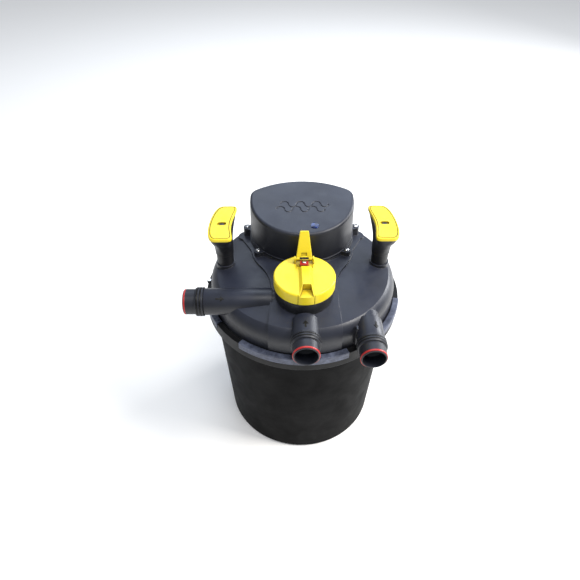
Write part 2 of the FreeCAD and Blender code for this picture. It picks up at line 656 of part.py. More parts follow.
def make_lock_piece():
    """The red lock piece in the dial's slot: a rounded block with two grip grooves."""
    y, low, depth = d.lever_y - d.lock_ahead, d.dial_edge_z, d.lock_depth
    blank = softened("lock_rounded", block("lock_blank", d.lock_width, depth, d.lock_height, (0, y, low)),
                     2, lambda edge: edge.BoundBox.ZLength > 5)
    grooves = [block("lock_groove_%s" % side, 1.6, 1.6, 10, (sign * 3.6, y - depth / 2, low + 1.2))
               for side, sign in SIDES]
    return cut("lock_piece", blank, *grooves)


def make_cap_nut():
    """The domed cap nut on the lock piece, with six flats."""
    radius, height = d.nut_radius, d.nut_height
    at = (0, d.lever_y - d.nut_ahead, d.dial_edge_z + d.lock_height)
    crown = revolved("nut_dome", [(0, 0), (radius, 0), (radius, 1.3), (DOMED, (0, height))], at)
    flats = doc.addObject("Part::Prism", "nut_flats")
    bind(flats, Circumradius=radius, Height=height + 1)
    return common("cap_nut", crown, place(flats, at))


# ---------------------------------------------------------------- hose spigots

def ports():
    """Name, socket face centre and direction of each hose port."""
    return (("left", (d.left_face_x, d.valve_y, d.port_z), LEFT),
            ("front", (0, d.front_face_y, d.port_z), FRONT),
            ("outlet", (d.outlet_x, d.outlet_face_y, d.outlet_z), FRONT))


def make_spigots():
    """Three ribbed hose spigots, each plugged into its socket."""
    rib, groove, body = d.rib_radius, d.spigot_radius + 0.6, d.spigot_radius
    ring, end = d.mouth_ring_at, d.spigot_length
    for name, at, direction in ports():
        revolved(name + "_spigot", [
            (d.plug_bore, -d.plug_depth), (d.tube_bore, -d.plug_depth), (d.tube_bore, 0), (rib, 0),
            (rib, 3.6), (groove, 3.6), (groove, 6.8), (rib, 6.8), (rib, 9.4), (groove, 9.4),
            (groove, 12.6), (rib, 12.6), (rib - 1, 15), (body, 15.6), (body, ring),
            (d.lip_radius, ring), (d.lip_radius, end - 0.6), (d.lip_radius - 0.6, end),
            (d.spigot_bore + 0.4, end), (d.spigot_bore, end - 0.4), (d.spigot_bore, 14),
            (d.plug_bore, 8)], at, direction)


def make_spigot_seals():
    """Two rubber rings in the grooves of each spigot."""
    seals = []
    for name, at, direction in ports():
        for index, along in enumerate((5.2, 11), start=1):
            ring = doc.addObject("Part::Torus", "%s_seal_%d" % (name, index))
            bind(ring, Radius1=d.spigot_radius + 2.15, Radius2=1.5)
            seals.append(place(ring, [part + number(step) * along for part, step in
                                      zip(at, (direction.x, direction.y, direction.z))],
                               facing(direction)))
    return group("spigot_seals", *seals)


def make_mouth_rings():
    """A coloured ring let into the outside of each mouth, behind its lip."""
    low, length = d.mouth_ring_at, d.mouth_ring_height
    for name, at, direction in ports():
        revolved(name + "_mouth_ring", [
            (d.lip_radius, low), (d.spigot_radius, low), (d.spigot_radius, low + length - 0.5),
            (d.spigot_radius - 0.5, low + length), (d.lip_radius, low + length)], at, direction)


# ---------------------------------------------------------------- ultraviolet housing

def top_slope():
    rise = d.housing_back_top_z.number - d.housing_front_top_z.number
    return math.degrees(math.atan2(rise, d.housing_back_y.number - d.housing_front_y.number))


def housing_solid(label, grow, low_z, drop, draft=0):
    """The housing's block under its sloping top, grown in plan and lowered by a drop."""
    height = d.housing_back_top_z - low_z + 10
    blank = extruded(label + "_blank", housing_plan(grow), low_z, height, draft)
    slope, lead = math.radians(top_slope()), 60
    above = doc.addObject("Part::Box", label + "_above")
    bind(above, Length=400, Width=400, Height=60)
    place(above, (-200, d.housing_front_y - lead * math.cos(slope),
                  d.housing_front_top_z - drop - lead * math.sin(slope)),
          FreeCAD.Rotation(RIGHT, top_slope()))
    return cut(label, blank, above)


def ripple_marks():
    """Two wavy lines, each a chain of half rings, sunk into the housing's top."""
    marks, count = [], 6
    radius, depth = d.ripple_radius.number, d.ripple_depth.number
    slope = math.radians(top_slope())
    for line in range(2):
        from_front = d.ripple_from_front.number + line * d.ripple_gap.number
        for step in range(count):
            arc = doc.addObject("Part::Torus", "ripple_%d_%d" % (line + 1, step + 1))
            bind(arc, Radius1=d.ripple_radius, Radius2=d.ripple_depth)
            arc.Angle3 = 180
            along = (step - (count - 1) / 2 + line * 0.5 - 0.25) * 2 * radius
            z = d.housing_front_top_z.number + depth * 0.2 + from_front * math.tan(slope)
            turn = FreeCAD.Rotation(RIGHT, top_slope()) * FreeCAD.Rotation(UP, 180 * (step % 2))
            marks.append(place(arc, (along, d.housing_front_y + from_front, z), turn))
    return marks


def lens_placement():
    depth = d.lens_y.number - d.housing_front_y.number
    surface = d.housing_front_top_z.number + depth * math.tan(math.radians(top_slope()))
    return (d.lens_x, d.lens_y, surface), FreeCAD.Rotation(RIGHT, top_slope())


def make_housing():
    """The housing over the lamp's wiring: a shell with a flange, ears, a lens hole and ripple marks."""
    low = d.plinth_top_z + d.gasket_height
    outer = housing_solid("housing_outer", 0, low, 0, -d.housing_draft)
    top_edge = lambda edge: edge.BoundBox.ZMin > d.housing_front_top_z.number - 1
    rounded = softened("housing_rounded", outer, d.housing_round, top_edge)
    flange_plate = extruded("housing_flange", housing_plan(d.flange_grow), low, d.housing_flange)
    flange = with_ears("housing_foot", flange_plate, low, d.housing_flange)
    inner = housing_solid("housing_inner", -(d.housing_wall + 1.5), low - 1, d.housing_wall)
    at, slope = lens_placement()
    below = slope.multVec(FreeCAD.Vector(0, 0, -8))
    lens_hole = place(rod("lens_hole", d.lens_radius, 12, (0, 0, 0)),
                      (at[0], at[1] + below.y, at[2] + below.z), slope)
    gland_hole = rod("gland_hole", d.gland_radius - 2, 20, (0, d.housing_back_y - 10, d.gland_z), BACK)
    screw_holes = [rod("housing_screw_hole_%d" % index, d.screw_shank, 20, (x, y, low - 2))
                   for index, (x, y) in enumerate(screw_points(), start=1)]
    return cut("uv_housing", fused("housing_whole", rounded, flange), inner, lens_hole, gland_hole,
               *screw_holes, *ripple_marks())


def make_housing_gasket():
    blank = extruded("gasket_blank", housing_plan(d.flange_grow), d.plinth_top_z, d.gasket_height)
    plate = with_ears("gasket_plate", blank, d.plinth_top_z, d.gasket_height)
    opening = extruded("gasket_opening", housing_plan(-4), d.plinth_top_z - 1, 5)
    holes = [rod("gasket_hole_%d" % index, d.screw_shank, 5, (x, y, d.plinth_top_z - 1))
             for index, (x, y) in enumerate(screw_points(), start=1)]
    return cut("housing_gasket", plate, opening, *holes)


def make_housing_screws():
    """Four pan-head screws, each with a crossed recess."""
    top = d.plinth_top_z + d.gasket_height + d.housing_flange
    head, shank = d.screw_head, d.screw_shank
    screws = []
    for index, (x, y) in enumerate(screw_points(), start=1):
        blank = revolved("screw_blank_%d" % index, [
            (0, -14), (shank, -14), (shank, 0), (head, 0), (head, 1.4), (DOMED, (0, 3.5))], (x, y, top))
        slots = [block("screw_slot_%d_%d" % (index, way), 5.2 if way else 1.1, 1.1 if way else 5.2, 4,
                       (x, y, top + 2)) for way in (0, 1)]
        screws.append(cut("screw_%d" % index, blank, *slots))
    return group("housing_screws", *screws)


def make_sight_lens():
    at, slope = lens_placement()
    radius = d.lens_radius
    lens = revolved("sight_lens", [
        (0, -2.6), (radius, -2.6), (radius, 0.3), (DOMED, (0, 1.5))])
    return place(lens, at, slope)


def make_ballast_box():
    low = d.plinth_top_z + 0.4
    return softened("ballast_box", block("ballast_blank", 96, 52, 38, (-30, 100, low)), 3,
                    lambda edge: edge.BoundBox.ZLength > 30)


def make_lamp_parts():
    """The lamp on its socket, in a quartz sleeve that hangs through the lid, with collar and seal."""
    y, radius = d.sleeve_y, d.sleeve_radius
    top, low = d.plinth_top_z + 6, d.sleeve_low_z
    sleeve_top = top - low
    revolved("quartz_sleeve", [
        (0, 0), (DOMED, (radius, radius)), (radius, sleeve_top),
        (radius - 1.5, sleeve_top), (radius - 1.5, radius), (DOMED, (0, 1.5))],
        (0, y, low))
    tube("sleeve_collar", radius + 7, radius, 16, (0, y, d.plinth_top_z - 16))
    tube("sleeve_seal", radius + 5, radius, 3, (0, y, d.plinth_top_z + 0.2))
    rod("uv_lamp", 8, top - low - 30, (0, y, low + 30))
    rod("lamp_socket", 14, 26, (0, y, top))


def make_cable_gland():
    """The gland behind the housing that the supply cable would leave through."""
    bore, radius = d.gland_bore, d.gland_radius
    return revolved("cable_gland", [
        (bore, -6), (radius - 2, -6), (radius - 2, 0.2), (radius + 2, 0.2), (radius + 2, 5),
        (radius - 0.5, 5.5), (radius - 0.5, 14), (radius - 2.5, 17), (bore, 17)],
        (0, d.housing_back_y, d.gland_z), BACK)


# ---------------------------------------------------------------- handles and press

def grip_section(label, sign, length_half, width_half, height, bend, forward=0, power=0.5):
    """A closed curve: a bar with a toe towards the axis in front, whose back end bends in.

    A power of 1 gives a plain oval, and a lower one squarer ends.
    """
    count = 44
    points = []
    for index in range(count):
        turn = 2 * math.pi * index / count
        along = math.copysign(abs(math.cos(turn)) ** power, math.cos(turn))
        across = math.copysign(abs(math.sin(turn)) ** power, math.sin(turn))
        shift = -bend * (0.62 * along * along + 0.38 * along - 0.25)
        if across < 0 and along < 0:
            shift += d.grip_toe.number * across * along ** 2 * bend / d.grip_bend.number
        points.append(FreeCAD.Vector(
            sign * (d.handle_x.number + across * width_half + shift),
            d.handle_y.number + d.grip_back.number + along * length_half - forward, height))
    curve = Part.BSplineCurve()
    curve.interpolate(points, PeriodicFlag=True)
    section = doc.addObject("Part::Feature", label)
    section.Shape = Part.Wire([curve.toShape()])
    return section


def grip_block(label, sign, inset, low, height):
    """The cap's plan with an inset all round, pushed up as a solid."""
    solid = doc.addObject("Part::Extrusion", label)
    solid.Base = grip_section(label + "_plan", sign, d.grip_half.number - inset,
                              d.grip_width_half.number - inset, low, d.grip_bend.number,
                              power=CAP_POWER)
    solid.Dir = UP
    solid.LengthFwd = height
    solid.Solid = True
    return solid


def make_handle_body(side, sign):
    """A black post that flares from a round neck into the long grip."""
    x, y, top, bend = d.handle_x * sign, d.handle_y, d.cap_low_z.number, d.grip_bend.number
    flare = doc.addObject("Part::Loft", side + "_flare")
    levels = ((17.6, 17.6, 62, 0, 5, 1), (22, 18, 42, 0.15, 5, 0.85), (36, 18.6, 22, 0.5, 6, 0.65),
              (48.5, 19.6, 9, 0.85, 3, 0.52), (54.7, 20.4, 0, 1, 0, 0.42))
    flare.Sections = [
        grip_section("%s_grip_%d" % (side, level), sign, length_half, width_half, top - below,
                     bend * share, forward, power)
        for level, (length_half, width_half, below, share, forward, power) in enumerate(levels)]
    flare.Solid = True
    post_low = d.boss_top_z + 0.5
    post = rod(side + "_post", d.post_radius, 34, (x, y, post_low))
    seal_room = rod(side + "_seal_room", d.rod_radius + 5, 8, (x, y, post_low - 1))
    rod_hole = rod(side + "_rod_hole", d.rod_radius, 30, (x, y, post_low - 0.5))
    screw_hole = rod(side + "_screw_hole", d.cap_screw_shank, 20, (x, y, d.cap_low_z - 15))
    cut(side + "_handle_body", fused(side + "_handle_blank", flare, post), seal_room, rod_hole,
        screw_hole)


def make_handle_cap(side, sign):
    """The yellow cap: rounded on top, with a parting groove and a well for its screw."""
    x, y, low, height = d.handle_x * sign, d.handle_y, d.cap_low_z.number, d.cap_height.number
    blank = softened(side + "_cap_rounded", grip_block(side + "_cap_blank", sign, 0, low, height),
                     d.cap_round, lambda edge: edge.BoundBox.ZMin > low + height - 0.5)
    groove_low = low + height - 1.5
    groove = cut(side + "_cap_groove", grip_block(side + "_groove_out", sign, 3, groove_low, 3),
                 grip_block(side + "_groove_in", sign, 4.4, groove_low - 0.1, 4))
    well_blank = block(side + "_well_blank", d.well_length, d.well_width, 10,
                       (x, y, d.cap_low_z + d.well_floor))
    well = softened(side + "_cap_well", well_blank, 4, lambda edge: edge.BoundBox.ZLength > 5)
    shank_hole = rod(side + "_shank_hole", d.cap_screw_shank, 20, (x, y, d.cap_low_z - 1))
    cut(side + "_handle_cap", blank, groove, well, shank_hole)


def make_handles():
    screws, shank = [], d.cap_screw_shank
    for side, sign in SIDES:
        make_handle_body(side, sign)
        make_handle_cap(side, sign)
        screws.append(revolved(side + "_cap_screw", [
            (0, -14), (shank, -14), (shank, 0), (4.4, 0), (4.4, 1.6), (1.4, 2.4), (1.4, 1), (0, 1)],
            (d.handle_x * sign, d.handle_y, d.cap_low_z + d.well_floor)))
    group("cap_screws", *screws)


def make_rods():
    """Pull rods from the handles to the press plate, with their bushes, seals and nuts."""
    top = d.boss_top_z + 30
    bushes, seals, nuts = [], [], []
    for side, sign in SIDES:
        x, y = d.handle_x * sign, d.handle_y
        rod(side + "_pull_rod", d.rod_radius, top - d.rod_low_z, (x, y, d.rod_low_z))
        bushes.append(tube(side + "_bush", d.rod_radius + 4, d.rod_radius + 0.06, 20,
                           (x, y, d.boss_top_z - 20)))
        seals.append(tube(side + "_rod_seal", d.rod_radius + 3, d.rod_radius + 0.06, 3,
                          (x, y, d.boss_top_z)))
        nuts.append(tube(side + "_nut", d.rod_radius + 3, d.rod_radius, 7, (x, y, d.plate_low_z - 7)))
    group("guide_bushes", *bushes)
    group("rod_seals", *seals)
    group("rod_nuts", *nuts)


def make_press_plate():
    """The perforated plate under the foam that the rods lift."""
    low, height = d.plate_low_z, d.plate_height
    plate = tube("plate_disc", d.plate_radius, d.tube_core_radius + 1.5, height, (0, 0, low))
    ears = [rod("%s_plate_ear" % side, d.rod_radius + 3, height, (d.handle_x * sign, d.handle_y, low))
            for side, sign in SIDES]
    holes = []
    for ring_radius, count in ((72, 12), (100, 16), (128, 20)):
        for index in range(count):
            x, y = on_circle(ring_radius, 360.0 * (index + 0.5) / count)
            holes.append(rod("plate_hole_%d_%d" % (ring_radius, index + 1), d.drain_radius, 20,
                             (x, y, low - 5)))
    rod_holes = [rod("%s_plate_hole" % side, d.rod_radius, 20, (d.handle_x * sign, d.handle_y, low - 5))
                 for side, sign in SIDES]
    return cut("press_plate", fused("plate_blank", plate, *ears), *holes, *rod_holes)


def make_foam():
    """Four foam discs, coarse at the bottom, each notched for the rods."""
    for index, grade in enumerate(("coarse", "medium", "fine", "polishing")):
        low = d.foam_low_z + d.foam_height * index
        disc = tube(grade + "_disc", d.foam_radius, d.foam_bore, d.foam_height, (0, 0, low))
        notches = [rod("%s_%s_notch" % (grade, side), d.rod_radius + 4, 90,
                       (d.handle_x * sign, d.handle_y, low - 10)) for side, sign in SIDES]
        cut(grade + "_foam", disc, *notches)


def make_centre_tube():
    """The perforated tube inside the foam that stands on the tank's floor."""
    radius = d.tube_core_radius
    floor = d.tank_wall + 1
    wall = tube("core_wall", radius, radius - d.tube_core_wall, d.grid_low_z + d.grid_height + 6 - floor,
                (0, 0, floor))
    holes = []
    for level in range(7):
        for way, direction in enumerate((LEFT, FRONT)):
            z = 60 + level * 32
            at = (60, 0, z) if way == 0 else (0, 60, z)
            holes.append(rod("core_hole_%d_%d" % (level, way), 9, 120, at, direction))
    return cut("centre_tube", wall, *holes)


def make_top_grid():
    """The perforated plate over the foam, held down by posts under the lid."""
    low, height = d.grid_low_z, d.grid_height
    plate = tube("grid_disc", d.grid_radius, d.tube_core_radius, height, (0, 0, low))
    posts = [rod("grid_post_%d" % index, d.grid_post_radius, d.grid_post_top_z - low, (x, y, low))
             for index, (x, y) in enumerate(((96, 60), (-96, 60), (-84, -40), (84, -40)), start=1)]
    holes = []
    for ring_radius, count in ((68, 12), (128, 20)):
        for index in range(count):
            x, y = on_circle(ring_radius, 360.0 * (index + 0.5) / count)
            holes.append(rod("grid_hole_%d_%d" % (ring_radius, index + 1), d.drain_radius, 20,
                             (x, y, low - 5)))
    return cut("top_grid", fused("grid_blank", plate, *posts), *holes)


# ---------------------------------------------------------------- build, check and export

NODES = (
    "tank", "tank_seal", "clamp_ring", "ring_pads", "latch_lever", "latch_pin", "lid", "left_spigot",
    "front_spigot", "outlet_spigot", "spigot_seals", "left_mouth_ring", "front_mouth_ring",
    "outlet_mouth_ring", "valve_bowl", "valve_cover", "stem_seal", "valve_rotor", "valve_stem",
    "valve_dial", "dial_lever", "lever_pin", "lock_piece", "cap_nut", "uv_housing", "housing_gasket",
    "housing_screws", "sight_lens", "ballast_box", "lamp_socket", "uv_lamp", "quartz_sleeve",
    "sleeve_collar", "sleeve_seal", "cable_gland", "left_handle_body", "right_handle_body",
    "left_handle_cap", "right_handle_cap", "cap_screws", "left_pull_rod", "right_pull_rod",
    "guide_bushes", "rod_seals", "rod_nuts", "press_plate", "coarse_foam", "medium_foam", "fine_foam",
    "polishing_foam", "centre_tube", "top_grid")

for make in (make_tank, make_tank_seal, make_clamp_ring, make_ring_pads, make_latch_lever, make_latch_pin,
             make_lid, make_spigots, make_spigot_seals, make_mouth_rings, make_valve_bowl,
             make_valve_cover, make_stem_seal, make_valve_rotor, make_valve_stem, make_valve_dial,
             make_dial_lever, make_lever_pin, make_lock_piece, make_cap_nut, make_housing,
             make_housing_gasket, make_housing_screws, make_sight_lens, make_ballast_box,
             make_lamp_parts, make_cable_gland, make_handles, make_rods, make_press_plate, make_foam,
             make_centre_tube, make_top_grid):
    make()

doc.recompute()

failed = [item.Name for item in doc.Objects if {"Invalid", "Error"} & set(item.State)]
if failed:
    raise RuntimeError("objects that did not compute: " + ", ".join(failed))

by_label = {item.Label: item for item in doc.Objects}
os.makedirs("parts", exist_ok=True)
for node in NODES:
    shape = by_label[node].Shape
    if shape.isNull() or not shape.isValid() or not shape.Solids:
        raise RuntimeError("sub-part without a valid solid: " + node)
for node in NODES:
    by_label[node].Shape.exportStep("parts/%s.step" % node)
print("wrote %d sub-parts" % len(NODES))
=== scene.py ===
"""The looks of a pressurised pond canister filter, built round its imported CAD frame."""
import json
import math

import bpy
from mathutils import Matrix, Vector


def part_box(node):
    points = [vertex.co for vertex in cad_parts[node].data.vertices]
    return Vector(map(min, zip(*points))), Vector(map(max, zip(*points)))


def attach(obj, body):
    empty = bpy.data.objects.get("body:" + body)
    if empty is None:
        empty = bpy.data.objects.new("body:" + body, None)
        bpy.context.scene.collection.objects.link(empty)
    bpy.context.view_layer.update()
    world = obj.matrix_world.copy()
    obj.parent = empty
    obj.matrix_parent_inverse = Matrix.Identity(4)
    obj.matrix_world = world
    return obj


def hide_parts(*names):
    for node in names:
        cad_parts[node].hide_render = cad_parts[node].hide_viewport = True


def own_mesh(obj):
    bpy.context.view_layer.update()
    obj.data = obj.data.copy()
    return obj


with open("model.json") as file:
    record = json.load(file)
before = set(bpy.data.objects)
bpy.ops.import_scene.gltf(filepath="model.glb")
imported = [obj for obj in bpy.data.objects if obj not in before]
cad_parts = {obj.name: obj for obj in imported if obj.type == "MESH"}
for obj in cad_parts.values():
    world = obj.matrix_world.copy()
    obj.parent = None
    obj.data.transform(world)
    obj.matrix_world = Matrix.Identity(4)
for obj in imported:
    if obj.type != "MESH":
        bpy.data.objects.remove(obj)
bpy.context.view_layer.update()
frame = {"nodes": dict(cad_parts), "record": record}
NODES = frame["nodes"]
SUBPARTS = frame["record"]["subparts"]
BODIES = frame["record"]["behaviour"]["bodies"]
MM = 0.001


# ---------------------------------------------------------------- materials

class Shader:
    """One node material: a Principled surface, with short calls for the nodes that feed it."""

    def __init__(self, name, colour, rough, metal=0.0, **sockets):
        self.material = bpy.data.materials.new(name)
        self.material.use_nodes = True
        self.tree = self.material.node_tree
        self.surface = self.tree.nodes["Principled BSDF"]
        self.place = self.node("ShaderNodeTexCoord").outputs["Object"]
        self.set(self.surface, **{"Base Color": (*colour, 1), "Roughness": rough, "Metallic": metal})
        self.set(self.surface, **sockets)

    def set(self, node, **values):
        for socket, value in values.items():
            if isinstance(value, bpy.types.NodeSocket):
                self.tree.links.new(value, node.inputs[socket])
            else:
                node.inputs[socket].default_value = value

    def node(self, kind, output=None, links=None, **settings):
        node = self.tree.nodes.new(kind)
        for key, value in settings.items():
            setattr(node, key, value)
        for socket, value in (links or {}).items():
            self.set(node, **{socket: value})
        return node if output is None else node.outputs[output]

    def stretched(self, scale):
        return self.node("ShaderNodeMapping", "Vector", {"Vector": self.place, "Scale": scale})

    def noise(self, scale, detail=3.0, rough=0.55, distortion=0.0, place=None):
        return self.node("ShaderNodeTexNoise", "Fac", {
            "Vector": place or self.place, "Scale": scale, "Detail": detail, "Roughness": rough,
            "Distortion": distortion})

    def cells(self, scale, feature):
        return self.node("ShaderNodeTexVoronoi", "Distance", {"Vector": self.place, "Scale": scale},
                         feature=feature)

    def span(self, value, low, high, to_low=0.0, to_high=1.0):
        return self.node("ShaderNodeMapRange", "Result", {
            "Value": value, "From Min": low, "From Max": high, "To Min": to_low, "To Max": to_high})

    def maths(self, operation, first, second):
        node = self.node("ShaderNodeMath", operation=operation)
        for socket, value in zip(node.inputs, (first, second)):
            if isinstance(value, bpy.types.NodeSocket):
                self.tree.links.new(value, socket)
            else:
                socket.default_value = value
        return node.outputs[0]

    def mix(self, factor, first, second, blend="MIX"):
        node = self.node("ShaderNodeMix", data_type="RGBA", blend_type=blend)
        sockets = {"Factor": node.inputs[0], "A": node.inputs[6], "B": node.inputs[7]}
        for key, value in (("Factor", factor), ("A", first), ("B", second)):
            if isinstance(value, bpy.types.NodeSocket):
                self.tree.links.new(value, sockets[key])
            elif key == "Factor":
                sockets[key].default_value = value
            else:
                sockets[key].default_value = (*value, 1)
        return node.outputs[2]

    def hollows(self, distance):
        """Near 1 in hollows and along inner corners, 0 on open faces."""
        shade = self.node("ShaderNodeAmbientOcclusion", "AO", {"Distance": distance}, samples=8)
        return self.span(shade, 0.85, 0.35)

    def edges(self, radius):
        """The normal, rounded over the edges, and a mask that is near 1 along them."""
        rounded = self.node("ShaderNodeBevel", "Normal", {"Radius": radius}, samples=6)
        true = self.node("ShaderNodeNewGeometry").outputs["Normal"]
        agree = self.node("ShaderNodeVectorMath", operation="DOT_PRODUCT")
        self.tree.links.new(rounded, agree.inputs[0])
        self.tree.links.new(true, agree.inputs[1])
        return rounded, self.span(agree.outputs["Value"], 0.995, 0.90)

    def upward(self):
        """How far the surface faces up, from -1 to 1."""
        split = self.node("ShaderNodeSeparateXYZ")
        self.tree.links.new(self.node("ShaderNodeNewGeometry").outputs["Normal"], split.inputs[0])
        return split.outputs["Z"]

    def bump(self, height, strength, distance, normal=None):
        node = self.node("ShaderNodeBump", links={"Height": height, "Strength": strength,
                                                  "Distance": distance})
        if normal is not None:
            self.tree.links.new(normal, node.inputs["Normal"])
        return node.outputs["Normal"]


def moulded(name, colour, rough, worn=(0.30, 0.31, 0.34), wear=0.35, dust_and_shade_amount=0.10, grain=0.25,
            radius=1.2, contrast=1.0, painted_sky_tone=None, dust_and_shade_colour=(0.30, 0.29, 0.27), painted_crease_shade=None,
            reach=14, **sockets):
    """Moulded plastic: fine grain, flow clouds, painted sky light on up-facing tops, a tone that
    settles in hollows (a pale dusting on most plastics, painted shade where it is dark, as on the
    yellow), and lighter, rubbed edges.

    radius rounds the edges and reach is how far the hollow tone, dusting and painted shade, spreads
    from a corner, both in millimetres.
    """
    s = Shader(name, colour, rough, **sockets)
    rounded, edge = s.edges(radius * MM)
    clouds = s.noise(11, 4, 0.6, 0.6)
    specks = s.span(s.noise(420, 2, 0.7), 0.58, 0.78)
    darker = [c * (1 - 0.28 * contrast) for c in colour]
    lighter = [min(1, c * (1 + 0.30 * contrast) + 0.004) for c in colour]
    tone = s.mix(s.span(clouds, 0.34, 0.68), darker, lighter)
    tone = s.mix(s.maths("MULTIPLY", specks, 0.22), tone, lighter)
    # Lighter, bluer tone on up-facing faces, in patches: painted sky light.
    if painted_sky_tone:
        upward = s.span(s.upward(), 0.25, 0.95)
        sky_patches = s.span(s.noise(14, 4, 0.6), 0.30, 0.60, 0.55, 1.0)
        tone = s.mix(s.maths("MULTIPLY", upward, sky_patches), tone, painted_sky_tone)
    rubbed = s.maths("MULTIPLY", edge, s.span(s.noise(55, 5, 0.7), 0.40, 0.66, 0.0, wear))
    tone = s.mix(rubbed, tone, worn)
    # Hollows take the hollow tone: a pale dusting on most plastics, painted shade on the yellow,
    # whose hollow tone is dark brown.
    patchy = s.span(s.noise(38, 5, 0.65), 0.36, 0.62, dust_and_shade_amount * 0.4, dust_and_shade_amount)
    dust_and_shade = s.maths("MULTIPLY", s.hollows(reach * MM), patchy)
    tone = s.mix(dust_and_shade, tone, dust_and_shade_colour)
    # Tight creases darken towards the crease tone: painted shade.
    if painted_crease_shade:
        tone = s.mix(s.maths("MULTIPLY", s.hollows(2.5 * MM), 0.9), tone, painted_crease_shade)
    s.set(s.surface, **{"Base Color": tone})
    shine = s.span(s.noise(26, 4, 0.6, 0.4), 0.3, 0.7, rough - 0.06, rough + 0.08)
    s.set(s.surface, Roughness=s.maths("ADD", shine, s.maths("MULTIPLY", dust_and_shade, 0.3)))
    peel = s.bump(s.noise(75, 2, 0.5), 0.20, 0.5 * MM, rounded)
    s.set(s.surface, Normal=s.bump(s.noise(1500, 2, 0.6), grain, 0.06 * MM, peel))
    return s


def scuffed(name, colour, pale, rough):
    """The ring's grip pads: pale plastic mottled by wear, with fine scratches round the ring."""
    s = Shader(name, colour, rough)
    rounded, edge = s.edges(1.0 * MM)
    patches = s.span(s.noise(48, 6, 0.72, 0.8), 0.36, 0.64)
    streaks = s.span(s.noise(30, 4, 0.7, 0, s.stretched((1, 1, 14))), 0.42, 0.60)
    tone = s.mix(patches, colour, pale)
    tone = s.mix(s.maths("MULTIPLY", streaks, 0.5), tone, [c * 0.55 for c in colour])
    tone = s.mix(s.maths("MULTIPLY", edge, 0.45), tone, [min(1, c * 1.5) for c in pale])
    s.set(s.surface, **{"Base Color": tone, "Roughness": s.span(patches, 0, 1, rough, rough + 0.18)})
    rubs = s.bump(s.noise(190, 4, 0.7), 0.35, 0.25 * MM, rounded)
    s.set(s.surface, Normal=s.bump(s.noise(900, 2), 0.3, 0.08 * MM, rubs))
    return s


def foam(name, colour, fineness):
    """Open-cell foam: dark pores between pale strands, with a soft sheen."""
    s = Shader(name, colour, 0.9, **{"Sheen Weight": 0.25, "Specular IOR Level": 0.15})
    pores = s.cells(fineness, "F1")
    walls = s.cells(fineness, "DISTANCE_TO_EDGE")
    tone = s.mix(s.span(pores, 0.10, 0.75), [c * 0.35 for c in colour], colour)
    tone = s.mix(s.span(s.noise(16, 3), 0.35, 0.68, 0, 0.35), tone, [c * 0.5 for c in colour])
    s.set(s.surface, **{"Base Color": tone})
    s.set(s.surface, Normal=s.bump(s.span(walls, 0.0, 0.18), 0.9, 1.2 * MM))
    return s


def metal(name, colour, rough):
    """Zinc or stainless steel: turned streaks, faint tarnish and bright, rounded edges."""
    s = Shader(name, colour, rough, metal=1.0)
    rounded, edge = s.edges(0.35 * MM)
    tarnish = s.span(s.noise(260, 5, 0.7), 0.38, 0.66)
    tone = s.mix(tarnish, colour, [c * 0.68 for c in colour])
    tone = s.mix(s.maths("MULTIPLY", edge, 0.6), tone, (0.90, 0.90, 0.89))
    s.set(s.surface, **{"Base Color": tone, "Roughness": s.span(tarnish, 0, 1, rough, rough + 0.16)})
    turned = s.noise(500, 3, 0.6, 0, s.stretched((1, 1, 12)))
    s.set(s.surface, Normal=s.bump(turned, 0.25, 0.05 * MM, rounded))
    return s


def glass(name, colour, ior, haze):
    """Clear tube glass with a faint haze of scale that gathers in patches."""
    s = Shader(name, colour, 0.02, IOR=ior, **{"Transmission Weight": 1.0})
    film = s.span(s.noise(60, 5, 0.7, 0.5, s.stretched((1, 1, 0.3))), 0.40, 0.70, 0.02, haze)
    s.set(s.surface, Roughness=film, Normal=s.bump(s.noise(120, 2), 0.05, 0.2 * MM))
    return s


def jewel(name, deep, pale):
    """The sight lens: deep blue plastic with paler blue swirls, a painted glow inside the lens, under
    a clear coat.
    """
    s = Shader(name, deep, 0.10, **{"Coat Weight": 0.4, "Coat Roughness": 0.03, "IOR": 1.45})
    # Paler blue swirls through the deep blue: painted light glowing inside the lens.
    painted_glow_swirl = s.span(s.noise(190, 3, 0.5, 0.6), 0.40, 0.62)
    s.set(s.surface, **{"Base Color": s.mix(painted_glow_swirl, deep, pale)})
    s.set(s.surface, Normal=s.bump(s.noise(420, 2), 0.15, 0.1 * MM, s.edges(0.8 * MM)[0]))
    return s


